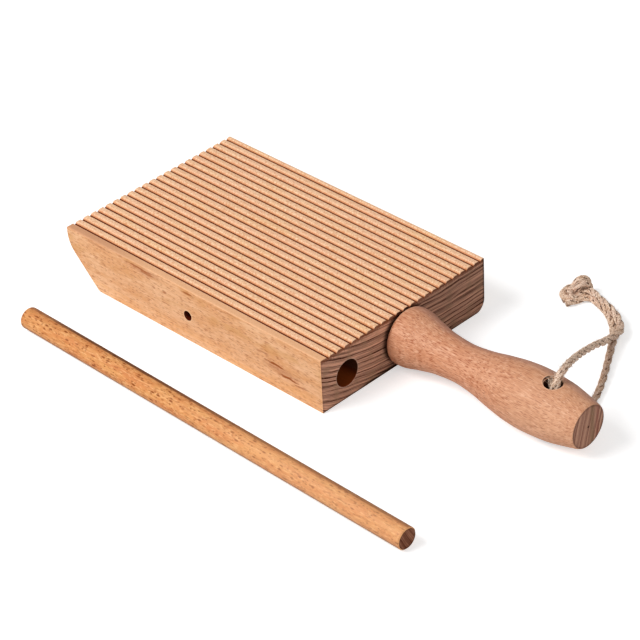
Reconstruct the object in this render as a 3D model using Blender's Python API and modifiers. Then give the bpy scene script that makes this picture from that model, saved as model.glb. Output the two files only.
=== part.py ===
"""A ridged wooden board with a turned handle, a cord loop through the handle, and a loose dowel beside it.

Units are metres. +X runs along the board towards the handle, +Z is up, and the origin is the centre of the
board's underside, so the table is at z = 0. The near side, where the dowel lies, is -Y.
"""

import math

import bmesh
import bpy
import numpy as np

OBJECT_NAME = "ridged_board"

# Fits and mesh fineness.
CLEARANCE = 0.0003
CUTTER_REACH = 0.005
ROUND_STEPS = 48
ARC_STEP = math.radians(15)
MERGE = 0.00001

# The board.
BOARD_LENGTH = 0.1550
BOARD_WIDTH = 0.1000
BOARD_THICKNESS = 0.0267
END_ROUND = 0.0005
NEAR_TOP_ROUND = 0.0006
BOTTOM_ROUND = 0.0005
FAR_BOTTOM_ROUND = 0.0060

# The undercut at the end away from the handle: an upright lip over a slope that runs in under the board.
LIP_HEIGHT = 0.0083
UNDERCUT_INSET = 0.0183
LIP_ROUND = 0.0130
TOE_ROUND = 0.0045

# The ridges, left between notches that run the length of the board.
GROOVE_PITCH = 0.00442
GROOVE_WIDTH = 0.0024
GROOVE_DEPTH = 0.0014
RIDGE_ROUND = 0.0005
NEAR_MARGIN = 0.0046
LEAST_FAR_MARGIN = 0.0022

# The dowel, its bore in the board's end, and the small hole from the side into that bore.
DOWEL_DIAMETER = 0.0100
DOWEL_LENGTH = 0.2250
DOWEL_CHAMFER = 0.0006
DOWEL_FAR_END = (-0.0624, -0.0379)
DOWEL_NEAR_END_DRIFT = -0.0031
BORE_DIAMETER = 0.0124
BORE_DEPTH = 0.1280
BORE_FROM_NEAR_SIDE = 0.0150
BORE_HEIGHT = 0.0127
BORE_TIP_ANGLE = math.radians(59)
SIDE_HOLE_DIAMETER = 0.0044
SIDE_HOLE_FROM_END = 0.0795
SIDE_HOLE_HEIGHT = 0.0132

# The handle, turned in one piece with the tenon that is glued into the board's end.
HANDLE_LENGTH = 0.0991
HANDLE_AXIS_HEIGHT = 0.0141
FACE_RADIUS = 0.0102
SHOULDER_ROUND = 0.0030
HANDLE_END_CHAMFER = 0.0006
TENON_DIAMETER = 0.0120
TENON_LENGTH = 0.0220
HANDLE_STATIONS = (  # share of the handle's length, radius there
    (0.050, 0.01315),
    (0.129, 0.01145),
    (0.228, 0.00950),
    (0.332, 0.00882),
    (0.432, 0.00975),
    (0.536, 0.01175),
    (0.635, 0.01330),
    (0.714, 0.01380),
    (0.838, 0.01315),
    (0.937, 0.01135),
    (1.000, 0.00990),
)
STATION_STEPS = 3

# The cord hole through the handle. Its lower mouth is opened wide so that the cord can turn out over the table.
CORD_HOLE_DIAMETER = 0.0078
CORD_HOLE_FROM_END = 0.0184
UPPER_MOUTH_CHAMFER = 0.0004
LOWER_MOUTH_CHAMFER = 0.0026

# The cord: two strands from the middle of the hole to the knot. A point is x from the hole, y, z, and the
# section's size there, which is under 1 where the handle presses the cord on the table.
CORD_DIAMETER = 0.0030
CORD_POINT_SPACING = 0.0036
CORD_SIDES_RESOLUTION = 2
UPPER_STRAND = (
    (0.0000, -0.0010, 0.0145, 1.0),
    (0.0000, -0.0010, 0.0195, 1.0),
    (0.0002, -0.0009, 0.0243, 1.0),
    (0.0005, -0.0002, 0.0272, 1.0),
    (0.0008, 0.0016, 0.0296, 1.0),
    (0.0008, 0.0042, 0.0310, 1.0),
    (0.0003, 0.0072, 0.0311, 1.0),
    (-0.0008, 0.0101, 0.0302, 1.0),
    (-0.0025, 0.0133, 0.0287, 1.0),
    (-0.0080, 0.0243, 0.0232, 1.0),
    (-0.0134, 0.0371, 0.0170, 1.0),
    (-0.0175, 0.0481, 0.0117, 1.0),
    (-0.0200, 0.0576, 0.0076, 1.0),
    (-0.0211, 0.0637, 0.0055, 1.0),
    (-0.0218, 0.0686, 0.0043, 1.0),
    (-0.0233, 0.0724, 0.0036, 1.0),
    (-0.0264, 0.0750, 0.0037, 1.0),
    (-0.0300, 0.0771, 0.00425, 1.0),
    (-0.0343, 0.0791, 0.00475, 1.0),
    (-0.0394, 0.0811, 0.0049, 1.0),
    (-0.0445, 0.0831, 0.0049, 1.0),
    (-0.0494, 0.0848, 0.0050, 1.0),
)
LOWER_STRAND = (
    (0.0000, -0.0010, 0.0140, 1.0),
    (0.0000, -0.0015, 0.0110, 1.0),
    (0.0000, -0.0019, 0.0079, 1.0),
    (0.0001, -0.0013, 0.0051, 1.0),
    (0.0004, 0.0005, 0.0028, 0.90),
    (0.0009, 0.0031, 0.0015, 0.80),
    (0.0014, 0.0060, 0.0012, 0.76),
    (0.0018, 0.0092, 0.0012, 0.78),
    (0.0020, 0.0132, 0.0014, 0.92),
    (0.0010, 0.0218, 0.00155, 1.0),
    (-0.0027, 0.0311, 0.00155, 1.0),
    (-0.0063, 0.0380, 0.00155, 1.0),
    (-0.0101, 0.0448, 0.00155, 1.0),
    (-0.0141, 0.0516, 0.00155, 1.0),
    (-0.0181, 0.0580, 0.00155, 1.0),
    (-0.0221, 0.0638, 0.00155, 1.0),
    (-0.0252, 0.0684, 0.00155, 1.0),
    (-0.0277, 0.0718, 0.00155, 1.0),
    (-0.0306, 0.0749, 0.00155, 1.0),
    (-0.0340, 0.0778, 0.00155, 1.0),
    (-0.0378, 0.0803, 0.00155, 1.0),
    (-0.0421, 0.0823, 0.00155, 1.0),
    (-0.0460, 0.0835, 0.0016, 1.0),
    (-0.0497, 0.0844, 0.0018, 1.0),
)

# The knot, as swellings: the wrap, the bight behind it, the neck where both strands go in, and two cut tails.
# Each is a centre (x from the hole), half sizes, and a turn about +Z.
KNOT_LUMPS = (
    ((-0.0561, 0.0865, 0.0047), (0.0047, 0.0047, 0.0045), 0.0),
    ((-0.0569, 0.0800, 0.0040), (0.0050, 0.0058, 0.0038), 0.2),
    ((-0.0527, 0.0845, 0.0037), (0.0025, 0.0032, 0.0035), 0.0),
    ((-0.0578, 0.0762, 0.0026), (0.0023, 0.0031, 0.0024), -0.5),
    ((-0.0540, 0.0756, 0.0024), (0.0023, 0.0031, 0.0022), 0.4),
)
KNOT_SEGMENTS = 24
KNOT_RINGS = 12


def main():
    for item in list(bpy.data.objects):
        bpy.data.objects.remove(item)
    parts = new_collection(OBJECT_NAME)
    cutters = new_collection(OBJECT_NAME + "_cutters")
    add_board(parts, cutters)
    add_handle(parts, cutters)
    add_dowel(parts)
    add_cord(parts, cutters)


# Places worked out from the driving dimensions.


def board_end():
    return BOARD_LENGTH / 2


def handle_end():
    return board_end() + CLEARANCE + HANDLE_LENGTH


def cord_hole_x():
    return handle_end() - CORD_HOLE_FROM_END


def groove_places():
    """The y of each notch, from the near margin across the width."""
    room = BOARD_WIDTH - NEAR_MARGIN - LEAST_FAR_MARGIN
    count = math.floor(room / GROOVE_PITCH) + 1
    first = -BOARD_WIDTH / 2 + NEAR_MARGIN
    return [first + number * GROOVE_PITCH for number in range(count)]


# General modelling helpers.


def new_collection(name):
    collection = bpy.data.collections.new(name)
    bpy.context.scene.collection.children.link(collection)
    return collection


def finish(name, colour, roughness):
    """A plain material in a linear colour."""
    material = bpy.data.materials.new(name)
    material.use_nodes = True
    shader = material.node_tree.nodes["Principled BSDF"]
    shader.inputs["Base Color"].default_value = (*colour, 1.0)
    shader.inputs["Roughness"].default_value = roughness
    shader.inputs["Metallic"].default_value = 0.0
    return material


def place(data, name, collection, location=(0, 0, 0), rotation=(0, 0, 0)):
    item = bpy.data.objects.new(name, data)
    item.location = location
    item.rotation_euler = rotation
    collection.objects.link(item)
    return item


def as_cutter(item):
    item.hide_render = True
    item.display_type = "WIRE"
    return item


def boolean(item, other, operation):
    modifier = item.modifiers.new(other.name, "BOOLEAN")
    modifier.object = other
    modifier.operation = operation
    modifier.solver = "EXACT"


def rounded(corners):
    """The outline through the corners (x, y, radius), each corner replaced by its arc."""
    outline = []
    for index, (x, y, radius) in enumerate(corners):
        corner = np.array((x, y))
        before = np.array(corners[index - 1][:2]) - corner
        after = np.array(corners[(index + 1) % len(corners)][:2]) - corner
        if radius == 0:
            outline.append(corner)
            continue
        before /= np.linalg.norm(before)
        after /= np.linalg.norm(after)
        half_angle = math.acos(float(np.clip(before @ after, -1, 1))) / 2
        middle = before + after
        middle /= np.linalg.norm(middle)
        centre = corner + middle * radius / math.sin(half_angle)
        turn = math.pi - 2 * half_angle
        steps = max(1, math.ceil(turn / ARC_STEP))
        start = corner + before * radius / math.tan(half_angle) - centre
        sense = math.copysign(1.0, before[1] * after[0] - before[0] * after[1])
        for step in range(steps + 1):
            angle = sense * turn * step / steps
            cos, sin = math.cos(angle), math.sin(angle)
            spoke = (start[0] * cos - start[1] * sin, start[0] * sin + start[1] * cos)
            outline.append(centre + spoke)
    return outline


def slab(name, outline, half_depth, collection, rotation):
    """A closed mesh: the flat outline, filled and extruded both ways."""
    curve = bpy.data.curves.new(name, "CURVE")
    curve.dimensions = "2D"
    curve.fill_mode = "BOTH"
    curve.extrude = half_depth
    spline = curve.splines.new("POLY")
    spline.points.add(len(outline) - 1)
    for point, (x, y) in zip(spline.points, outline):
        point.co = (x, y, 0, 1)
    spline.use_cyclic_u = True
    return curve_to_mesh(place(curve, name + "_outline", collection, rotation=rotation), name, collection)


def curve_to_mesh(item, name, collection):
    """Replaces a curve object by a mesh object with welded caps."""
    graph = bpy.context.evaluated_depsgraph_get()
    mesh = bpy.data.meshes.new_from_object(item.evaluated_get(graph))
    mesh.name = name
    shape = bmesh.new()
    shape.from_mesh(mesh)
    bmesh.ops.remove_doubles(shape, verts=shape.verts, dist=MERGE)
    bmesh.ops.recalc_face_normals(shape, faces=shape.faces)
    shape.to_mesh(mesh)
    shape.free()
    result = bpy.data.objects.new(name, mesh)
    collection.objects.link(result)
    result.matrix_world = item.matrix_world.copy()
    bpy.data.objects.remove(item)
    return result


def turned(name, profile, collection, location, rotation=(0, math.pi / 2, 0), steps=ROUND_STEPS):
    """A solid of revolution. The profile (radius, height) runs down the outer side; height lies along +X."""
    mesh = bpy.data.meshes.new(name)
    vertices = [(radius, 0, height) for radius, height in profile]
    edges = [(index, index + 1) for index in range(len(profile) - 1)]
    mesh.from_pydata(vertices, edges, [])
    item = place(mesh, name, collection, location, rotation)
    screw = item.modifiers.new("Turn", "SCREW")
    screw.steps = steps
    screw.render_steps = steps
    screw.use_merge_vertices = True
    screw.merge_threshold = MERGE
    screw.use_smooth_shade = True
    return item


# The board.


def add_board(parts, cutters):
    half_width = BOARD_WIDTH / 2
    reach = BOARD_LENGTH / 2 + CUTTER_REACH
    upright = (math.pi / 2, 0, math.pi / 2)
    board = slab("board", rounded(board_section_corners()), reach, parts, upright)
    board.data.materials.append(finish("board_beech", (0.72, 0.45, 0.24), 0.6))

    side = slab("board_side_shape", rounded(board_side_corners()), half_width + CUTTER_REACH, cutters,
                (math.pi / 2, 0, 0))
    boolean(board, as_cutter(side), "INTERSECT")
    boolean(board, dowel_bore(cutters), "DIFFERENCE")
    boolean(board, side_hole(cutters), "DIFFERENCE")
    boolean(board, tenon_socket(cutters), "DIFFERENCE")


def board_section_corners():
    """The board's outline across its width, seen from the handle's end: (y, z, corner radius)."""
    half, top = BOARD_WIDTH / 2, BOARD_THICKNESS
    corners = [
        (-half, top, NEAR_TOP_ROUND),
        (-half, 0, BOTTOM_ROUND),
        (half, 0, FAR_BOTTOM_ROUND),
        (half, top, END_ROUND),
    ]
    for y in reversed(groove_places()):
        corners += [
            (y + GROOVE_WIDTH / 2, top, RIDGE_ROUND),
            (y, top - GROOVE_DEPTH, 0),
            (y - GROOVE_WIDTH / 2, top, RIDGE_ROUND),
        ]
    return corners


def board_side_corners():
    """The board's outline along its length, seen from the near side: (x, z, corner radius)."""
    half, top = BOARD_LENGTH / 2, BOARD_THICKNESS
    return [
        (half, top, END_ROUND),
        (-half, top, END_ROUND),
        (-half, top - LIP_HEIGHT, LIP_ROUND),
        (-half + UNDERCUT_INSET, 0, TOE_ROUND),
        (half, 0, BOTTOM_ROUND),
    ]


def dowel_bore(cutters):
    """The blind bore that stores the dowel, with the drill's cone at its end."""
    radius = BORE_DIAMETER / 2
    mouth = board_end() + CUTTER_REACH
    floor = board_end() - BORE_DEPTH
    profile = [(0, mouth), (radius, mouth), (radius, floor), (0, floor - radius / math.tan(BORE_TIP_ANGLE))]
    centre = (0, -BOARD_WIDTH / 2 + BORE_FROM_NEAR_SIDE, BORE_HEIGHT)
    return as_cutter(turned("dowel_bore", profile, cutters, centre))


def side_hole(cutters):
    """The small hole from the near side into the bore."""
    radius = SIDE_HOLE_DIAMETER / 2
    profile = [(0, CUTTER_REACH), (radius, CUTTER_REACH), (radius, -BORE_FROM_NEAR_SIDE), (0, -BORE_FROM_NEAR_SIDE)]
    centre = (board_end() - SIDE_HOLE_FROM_END, -BOARD_WIDTH / 2, SIDE_HOLE_HEIGHT)
    outward = (math.pi / 2, 0, 0)
    return as_cutter(turned("side_hole", profile, cutters, centre, outward, ROUND_STEPS // 2))


def tenon_socket(cutters):
    radius = TENON_DIAMETER / 2 + CLEARANCE
    mouth = board_end() + CUTTER_REACH
    floor = board_end() - TENON_LENGTH - CLEARANCE
    profile = [(0, mouth), (radius, mouth), (radius, floor), (0, floor)]
    return as_cutter(turned("tenon_socket", profile, cutters, (0, 0, HANDLE_AXIS_HEIGHT)))


# The handle.


def station_slopes(stations):
    """A slope at each station: level at a peak or a valley, and between its neighbours' elsewhere."""
    rises = [(b[1] - a[1]) / (b[0] - a[0]) for a, b in zip(stations, stations[1:])]
    slopes = [0.0]
    for before, after in zip(rises, rises[1:]):
        level = before * after <= 0
        slopes.append(0.0 if level else 2 * before * after / (before + after))
    slopes.append(rises[-1])
    return slopes


def handle_profile():
    """(radius, height) down the handle's outer side, from its free end to the tenon; height 0 is its shoulder."""
    slopes = station_slopes(HANDLE_STATIONS)
    side = []
    spans = zip(HANDLE_STATIONS, HANDLE_STATIONS[1:], slopes, slopes[1:])
    for (start, start_radius), (end, end_radius), start_slope, end_slope in spans:
        span = end - start
        for step in range(STATION_STEPS):
            t = step / STATION_STEPS
            radius = (
                (1 + 2 * t) * (1 - t) ** 2 * start_radius
                + t * (1 - t) ** 2 * span * start_slope
                + t * t * (3 - 2 * t) * end_radius
                - t * t * (1 - t) * span * end_slope
            )
            side.append((radius, (start + t * span) * HANDLE_LENGTH))
    end_radius = HANDLE_STATIONS[-1][1]
    side.append((end_radius, HANDLE_LENGTH - HANDLE_END_CHAMFER))
    side.append((end_radius - HANDLE_END_CHAMFER, HANDLE_LENGTH))
    side.append((0, HANDLE_LENGTH))
    side.reverse()

    shoulder_radius = HANDLE_STATIONS[0][1]
    for step in range(1, 5):
        angle = math.pi / 2 * step / 5
        out = FACE_RADIUS + (shoulder_radius - FACE_RADIUS) * math.cos(angle)
        side.append((out, SHOULDER_ROUND * (1 - math.sin(angle))))
    tenon_radius = TENON_DIAMETER / 2
    tenon_end = -TENON_LENGTH - CLEARANCE
    side += [(FACE_RADIUS, 0), (tenon_radius, 0), (tenon_radius, tenon_end), (0, tenon_end)]
    return side


def add_handle(parts, cutters):
    shoulder = (board_end() + CLEARANCE, 0, HANDLE_AXIS_HEIGHT)
    handle = turned("handle", handle_profile(), parts, shoulder)
    handle.data.materials.append(finish("handle_beech", (0.68, 0.36, 0.20), 0.5))
    boolean(handle, cord_hole(cutters), "DIFFERENCE")


def handle_radius_at_hole():
    share = 1 - CORD_HOLE_FROM_END / HANDLE_LENGTH
    places = [place for place, _ in HANDLE_STATIONS]
    radii = [radius for _, radius in HANDLE_STATIONS]
    return float(np.interp(share, places, radii))


def cord_hole(cutters):
    """The upright hole with its two chamfered mouths, one turned cutter."""
    hole = CORD_HOLE_DIAMETER / 2
    surface = handle_radius_at_hole()
    upper, lower = hole + UPPER_MOUTH_CHAMFER, hole + LOWER_MOUTH_CHAMFER
    upper_edge = math.sqrt(surface**2 - upper**2)
    lower_edge = -math.sqrt(surface**2 - lower**2)
    profile = [
        (0, surface + CUTTER_REACH),
        (upper, surface + CUTTER_REACH),
        (upper, upper_edge),
        (hole, upper_edge - UPPER_MOUTH_CHAMFER),
        (hole, lower_edge + LOWER_MOUTH_CHAMFER),
        (lower, lower_edge),
        (lower, -surface - CUTTER_REACH),
        (0, -surface - CUTTER_REACH),
    ]
    centre = (cord_hole_x(), 0, HANDLE_AXIS_HEIGHT)
    return as_cutter(turned("cord_hole", profile, cutters, centre, (0, 0, 0)))


# The dowel.


def add_dowel(parts):
    """The loose dowel on the table, its far end a little nearer to the board than its near end."""
    x, gap = DOWEL_FAR_END
    start = np.array((x, -BOARD_WIDTH / 2 + gap))
    along = math.sqrt(DOWEL_LENGTH**2 - DOWEL_NEAR_END_DRIFT**2)
    turn = math.atan2(DOWEL_NEAR_END_DRIFT, along)
    middle = start + np.array((along, DOWEL_NEAR_END_DRIFT)) / 2
    radius, half = DOWEL_DIAMETER / 2, DOWEL_LENGTH / 2
    profile = [
        (0, half),
        (radius - DOWEL_CHAMFER, half),
        (radius, half - DOWEL_CHAMFER),
        (radius, DOWEL_CHAMFER - half),
        (radius - DOWEL_CHAMFER, -half),
        (0, -half),
    ]
    dowel = turned("dowel", profile, parts, (middle[0], middle[1], radius), (0, math.pi / 2, turn))
    dowel.data.materials.append(finish("dowel_beech", (0.72, 0.40, 0.17), 0.5))


# The cord.


def smooth_route(points):
    """A dense smooth curve through the points, with as many columns as they have."""
    points = np.array(points)
    padded = np.vstack((2 * points[0] - points[1], points, 2 * points[-1] - points[-2]))
    dense = []
    for a, b, c, d in zip(padded, padded[1:], padded[2:], padded[3:]):
        for t in np.linspace(0, 1, 16, endpoint=False):
            dense.append(0.5 * (2 * b + (c - a) * t + (2 * a - 5 * b + 4 * c - d) * t**2
                                + (3 * b - a - 3 * c + d) * t**3))
    dense.append(points[-1])
    return np.array(dense)


def evenly(dense, spacing):
    """Points at equal distances along the dense curve."""
    runs = np.linalg.norm(np.diff(dense[:, :3], axis=0), axis=1)
    reached = np.concatenate(([0], np.cumsum(runs)))
    count = round(reached[-1] / spacing) + 1
    wanted = np.linspace(0, reached[-1], count)
    return np.stack([np.interp(wanted, reached, column) for column in dense.T], axis=1)


def strand(name, points, material, parts):
    curve = bpy.data.curves.new(name, "CURVE")
    curve.dimensions = "3D"
    curve.bevel_depth = CORD_DIAMETER / 2
    curve.bevel_resolution = CORD_SIDES_RESOLUTION
    curve.use_fill_caps = True
    route = evenly(smooth_route(points), CORD_POINT_SPACING)
    spline = curve.splines.new("POLY")
    spline.points.add(len(route) - 1)
    for point, (x, y, z, size) in zip(spline.points, route):
        point.co = (x, y, z, 1)
        point.radius = size
    curve.materials.append(material)
    return place(curve, name, parts, (cord_hole_x(), 0, 0))


def swelling(name, centre, half_sizes, turn, collection):
    """An ellipsoid, one lump of the knot."""
    mesh = bpy.data.meshes.new(name)
    shape = bmesh.new()
    bmesh.ops.create_uvsphere(shape, u_segments=KNOT_SEGMENTS, v_segments=KNOT_RINGS, radius=1)
    bmesh.ops.scale(shape, vec=half_sizes, verts=shape.verts)
    shape.to_mesh(mesh)
    shape.free()
    x, y, z = centre
    return place(mesh, name, collection, (cord_hole_x() + x, y, z), (0, 0, turn))


def add_cord(parts, cutters):
    jute = finish("cord_jute", (0.60, 0.42, 0.25), 0.9)
    strand("cord_upper_strand", UPPER_STRAND, jute, parts)
    strand("cord_lower_strand", LOWER_STRAND, jute, parts)
    knot = swelling("cord_knot", *KNOT_LUMPS[0], parts)
    knot.data.materials.append(jute)
    for number, lump in enumerate(KNOT_LUMPS[1:], start=1):
        boolean(knot, as_cutter(swelling("knot_lump_%d" % number, *lump, cutters)), "UNION")


main()
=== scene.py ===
"""The looks of the ridged board: oiled beech, a twisted jute cord with its knot, soft studio light.

Units are metres unless a comment says millimetres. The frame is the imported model's: +X runs along the board
towards the handle, +Z is up, and the table is at z = 0.
"""

import functools
import math
from types import SimpleNamespace

import bmesh
import bpy
import numpy as np
from mathutils import Matrix, Vector


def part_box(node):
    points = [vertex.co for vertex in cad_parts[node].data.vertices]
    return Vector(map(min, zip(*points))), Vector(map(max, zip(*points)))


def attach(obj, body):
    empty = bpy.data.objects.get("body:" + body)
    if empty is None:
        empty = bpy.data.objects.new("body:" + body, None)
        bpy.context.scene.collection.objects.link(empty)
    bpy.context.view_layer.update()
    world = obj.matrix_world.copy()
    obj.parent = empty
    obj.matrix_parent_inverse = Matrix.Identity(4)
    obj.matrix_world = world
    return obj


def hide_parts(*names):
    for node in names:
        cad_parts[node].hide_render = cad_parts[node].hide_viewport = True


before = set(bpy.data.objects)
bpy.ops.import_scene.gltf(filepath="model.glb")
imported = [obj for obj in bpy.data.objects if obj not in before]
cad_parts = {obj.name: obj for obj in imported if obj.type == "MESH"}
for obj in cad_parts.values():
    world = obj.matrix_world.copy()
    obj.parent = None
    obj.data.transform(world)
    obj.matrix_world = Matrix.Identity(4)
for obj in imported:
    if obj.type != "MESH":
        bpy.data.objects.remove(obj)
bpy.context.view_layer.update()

MM = 0.001
ALONG = (1.0, 0.0, 0.0)
TO_NEAR = (0.0, -1.0, 0.0)
UP = (0.0, 0.0, 1.0)

# The camera, at the photograph's viewing angle.
CAMERA_PLACE = (0.7494, -0.7013, 0.6965)
CAMERA_AZIMUTH = math.radians(45.85)
CAMERA_ELEVATION = math.radians(34.76)
CAMERA_ROLL = math.radians(-2.94)
CAMERA_LENS = 159.55
SENSOR_WIDTH = 36.0

# Light and floor. A softbox is a place, a size and a power.
WORLD_LIGHT = 0.3
KEY_LIGHT = ((-0.45, -0.95, 1.15), 0.8, 19.0)
FILL_LIGHT = ((1.25, -0.45, 0.75), 0.7, 5.0)
AIM = (0.04, 0.0, 0.01)
FLOOR_SIZE = 6.0
FLOOR_SHADE = 0.82
FLOOR_GLOW = 0.5
WHITE_FROM = 0.35
WHITE_PAST = 1.0

# The pieces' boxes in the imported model.
board_low, board_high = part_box("board")
handle_low, handle_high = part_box("handle")
dowel_low, dowel_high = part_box("dowel")

# The board.
BOARD_END = board_high.x
LIP_FACE = board_low.x
BOARD_TOP = board_high.z
NEAR_SIDE = board_low.y
FAR_SIDE = board_high.y
EDGE_ROUND = 0.5 * MM
NEAR_TOP_ROUND = 0.6 * MM
FAR_BOTTOM_ROUND = 6.0 * MM
LIP_HEIGHT = 8.3 * MM
UNDERCUT_INSET = 18.3 * MM
LIP_ROUND = 13.0 * MM
TOE_ROUND = 4.5 * MM
GROOVE_PITCH = 4.42 * MM
GROOVE_WIDTH = 2.4 * MM
GROOVE_DEPTH = 1.4 * MM
RIDGE_ROUND = 0.5 * MM
NOTCH_ROUND = 0.12 * MM
NEAR_MARGIN = 4.6 * MM
LEAST_FAR_MARGIN = 2.2 * MM

# The drilled holes: a place across and up, and a radius.
BORE_AXIS = (NEAR_SIDE + 15.0 * MM, 12.7 * MM)
BORE_RADIUS = 6.2 * MM
BORE_DEPTH = 128.0 * MM
SIDE_HOLE_AXIS = (BOARD_END - 79.5 * MM, 13.2 * MM)
SIDE_HOLE_RADIUS = 2.2 * MM
SOCKET_RADIUS = 6.3 * MM
SOCKET_DEPTH = 22.3 * MM

# The handle, as shares of its length and radii in millimetres.
HANDLE_AXIS_HEIGHT = 14.1 * MM
SHOULDER_X = BOARD_END + 0.3 * MM
FACE_RADIUS = 10.2 * MM
SHOULDER_ROUND = 3.0 * MM
TENON_RADIUS = 6.0 * MM
HANDLE_STATIONS = (
    (0.05, 13.15), (0.129, 11.45), (0.228, 9.5), (0.332, 8.82),
    (0.432, 9.75), (0.536, 11.75), (0.635, 13.3), (0.714, 13.8),
    (0.838, 13.15), (0.937, 11.35), (1.000, 9.9),
)
CORD_HOLE_X = handle_high.x - 18.4 * MM
CORD_HOLE_RADIUS = 3.9 * MM
UPPER_MOUTH_CHAMFER = 0.4 * MM
LOWER_MOUTH_CHAMFER = 2.6 * MM

# The dowel.
DOWEL_RADIUS = 5.0 * MM
DOWEL_LENGTH = 225.0 * MM
DOWEL_DRIFT = -3.1 * MM
# How far up from the far side the dowel's painted shade along its upper side is darkest.
UPPER_SHADE_ANGLE = math.radians(58)

# The cord: x from the hole, y and z in millimetres, and the section's size where it isn't 1: under 1 where
# the handle presses it, over 1 where it frays at the hole and where the strands cling together.
CORD_DIAMETER = 3.0 * MM
UPPER_STRAND = (
    (0, -1, 14.5), (0.4, -0.8, 19.5, 1.2), (1, -0.4, 24.3, 1.35), (1.1, 0.3, 27.2, 1.2),
    (1.2, 2, 29.6, 1.05), (1, 4.5, 31), (0.4, 7.3, 31.1), (-0.8, 10.1, 30.2),
    (-2.5, 13.3, 28.7), (-8, 24.3, 23.2), (-13.4, 37.1, 17), (-17.5, 48.1, 11.7),
    (-20.2, 57.4, 7.3, 1.1), (-21.6, 63.4, 5.1, 1.14), (-22.5, 68.2, 4.2, 1.14), (-23.9, 72.2, 3.7, 1.14),
    (-26.6, 75.1, 3.7, 1.14), (-29.8, 77.4, 4.3, 1.14), (-34, 79.4, 4.8, 1.1), (-39.3, 81.4, 4.9),
    (-44.5, 83.1, 4.9), (-49.4, 84.8, 5),
)
LOWER_STRAND = (
    (0, -1, 14), (0, -1.5, 11), (0, -1.9, 7.9), (0.1, -1.3, 5.1),
    (0.4, 0.5, 2.8, 0.9), (0.9, 3.1, 1.5, 0.8), (1.2, 6, 1.2, 0.76), (1.3, 9.2, 1.2, 0.78),
    (1.1, 13.2, 1.4, 0.92), (0.2, 21.6, 1.55), (-3, 30.9, 1.55), (-6.3, 38, 1.55),
    (-10.1, 44.8, 1.55), (-14.1, 51.6, 1.55), (-18, 58.1, 1.8, 1.06), (-21.4, 63.8, 2.2, 1.12),
    (-24.4, 68.4, 2, 1.14), (-27.5, 72, 1.75, 1.14), (-30.5, 75, 1.7, 1.1), (-34, 77.8, 1.55),
    (-37.8, 80.3, 1.55), (-42.1, 82.3, 1.55), (-46, 83.5, 1.6), (-49.7, 84.4, 1.8),
)
UPPER_LENGTH = 126.3 * MM
LOWER_LENGTH = 117.6 * MM

# The knot, an overhand knot in the doubled cord: both strands turn through it to two cut tails, bights turn
# round behind them, and a double wrap lies over the top. Same columns as the strands.
KNOT_ROPES = (
    (
        (-47.6, 84.1, 4.95), (-49.8, 84.9, 4.9), (-51.9, 85, 4.2), (-53.5, 83.8, 3.5),
        (-54.8, 81.8, 3.1), (-56, 79.4, 2.8), (-57.2, 77, 2.4), (-58.2, 74.9, 2, 0.95),
    ),
    (
        (-47.8, 84, 1.7), (-49.8, 84.3, 1.8), (-51.5, 83, 1.8), (-52.7, 80.8, 1.8),
        (-53.7, 78.4, 1.8), (-54.6, 76.3, 1.75), (-55.6, 74.2, 1.7, 0.95),
    ),
    (
        (-57, 87.2, 2.6), (-57.9, 85.6, 3.8), (-58.8, 83.2, 4.4), (-59.8, 80.6, 4.5),
        (-60.4, 78, 3.9), (-59.5, 76.3, 3.1), (-57.4, 76.4, 2.6), (-55.6, 77.4, 2.4),
    ),
    (
        (-56.4, 85, 3.6), (-57, 82.8, 5), (-57.4, 80.6, 5.4), (-57.1, 78.6, 4.9),
        (-55.8, 77.6, 3.9), (-54.2, 78.4, 2.6),
    ),
    (
        (-57.8, 78.2, 2.3), (-57.8, 81, 2.8), (-57, 83.8, 3.2), (-55.4, 85.8, 3.4),
        (-53.6, 86.6, 3.6), (-52.2, 85.8, 3.6),
    ),
    (
        (-58.9, 83.4, 2.6), (-58.6, 82.8, 5), (-58, 83.8, 7), (-57.1, 86.1, 7.8),
        (-56.3, 88.3, 7), (-55.9, 89.5, 4.6), (-56, 88.8, 2.4),
    ),
    (
        (-56, 81, 3.8), (-55.5, 81.1, 6.2), (-54.7, 82.9, 7.6), (-53.9, 85.3, 7.3),
        (-53.6, 87.3, 5.6), (-54, 88.2, 3.4), (-55, 88, 2),
    ),
)

# How the cord is laid: three plies, with raised fibres, loose fibres and a frayed tuft in the hole's mouth.
PLY_OFFSET = 0.64 * MM
PLY_RADIUS = 0.92 * MM
LAY_PITCH = 19.0 * MM
CORD_SIDES = 36
RING_SPACING = 0.4 * MM
STREAK_HEIGHT = 0.2 * MM
KNOT_PASSES = 6
FIBRE_ROOT = 0.45 * CORD_DIAMETER
LEAST_FIBRE_HEIGHT = 0.1 * MM
SLEEVE_RINGS = slice(30, 72)
TUFT_FIBRES = 170
TUFT_FOOT = (CORD_HOLE_X + 0.3 * MM, 0.1 * MM, 25.2 * MM)

# Kinds of loose fibres: how many to a metre, least and most reach, rise as a share of it, thickness.
LYING_FIBRES = (6000, (0.8 * MM, 2.2 * MM), 0.3, 0.1 * MM)
STANDING_FIBRES = (1600, (0.9 * MM, 2.4 * MM), 0.8, 0.05 * MM)
KNOT_FIBRES = (4500, (0.8 * MM, 2.2 * MM), 0.35, 0.1 * MM)
SLEEVE_FIBRES = (9000, (1.0 * MM, 3.4 * MM), 0.55, 0.13 * MM)

# Mesh fineness, and how straight along an axis the normal of a flat face is.
ARC_STEP = math.radians(9)
LATHE_SIDES = 96
STATION_STEPS = 6
CURVE_STEPS = 16
FLAT_FACING = 0.9995
SMOOTH_ANGLE = math.radians(35)


def srgb(red, green, blue):
    """A linear colour from 8-bit display values."""
    linear = [((v / 255 + 0.055) / 1.055) ** 2.4 for v in (red, green, blue)]
    return (*linear, 1.0)


# Node wiring.


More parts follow.
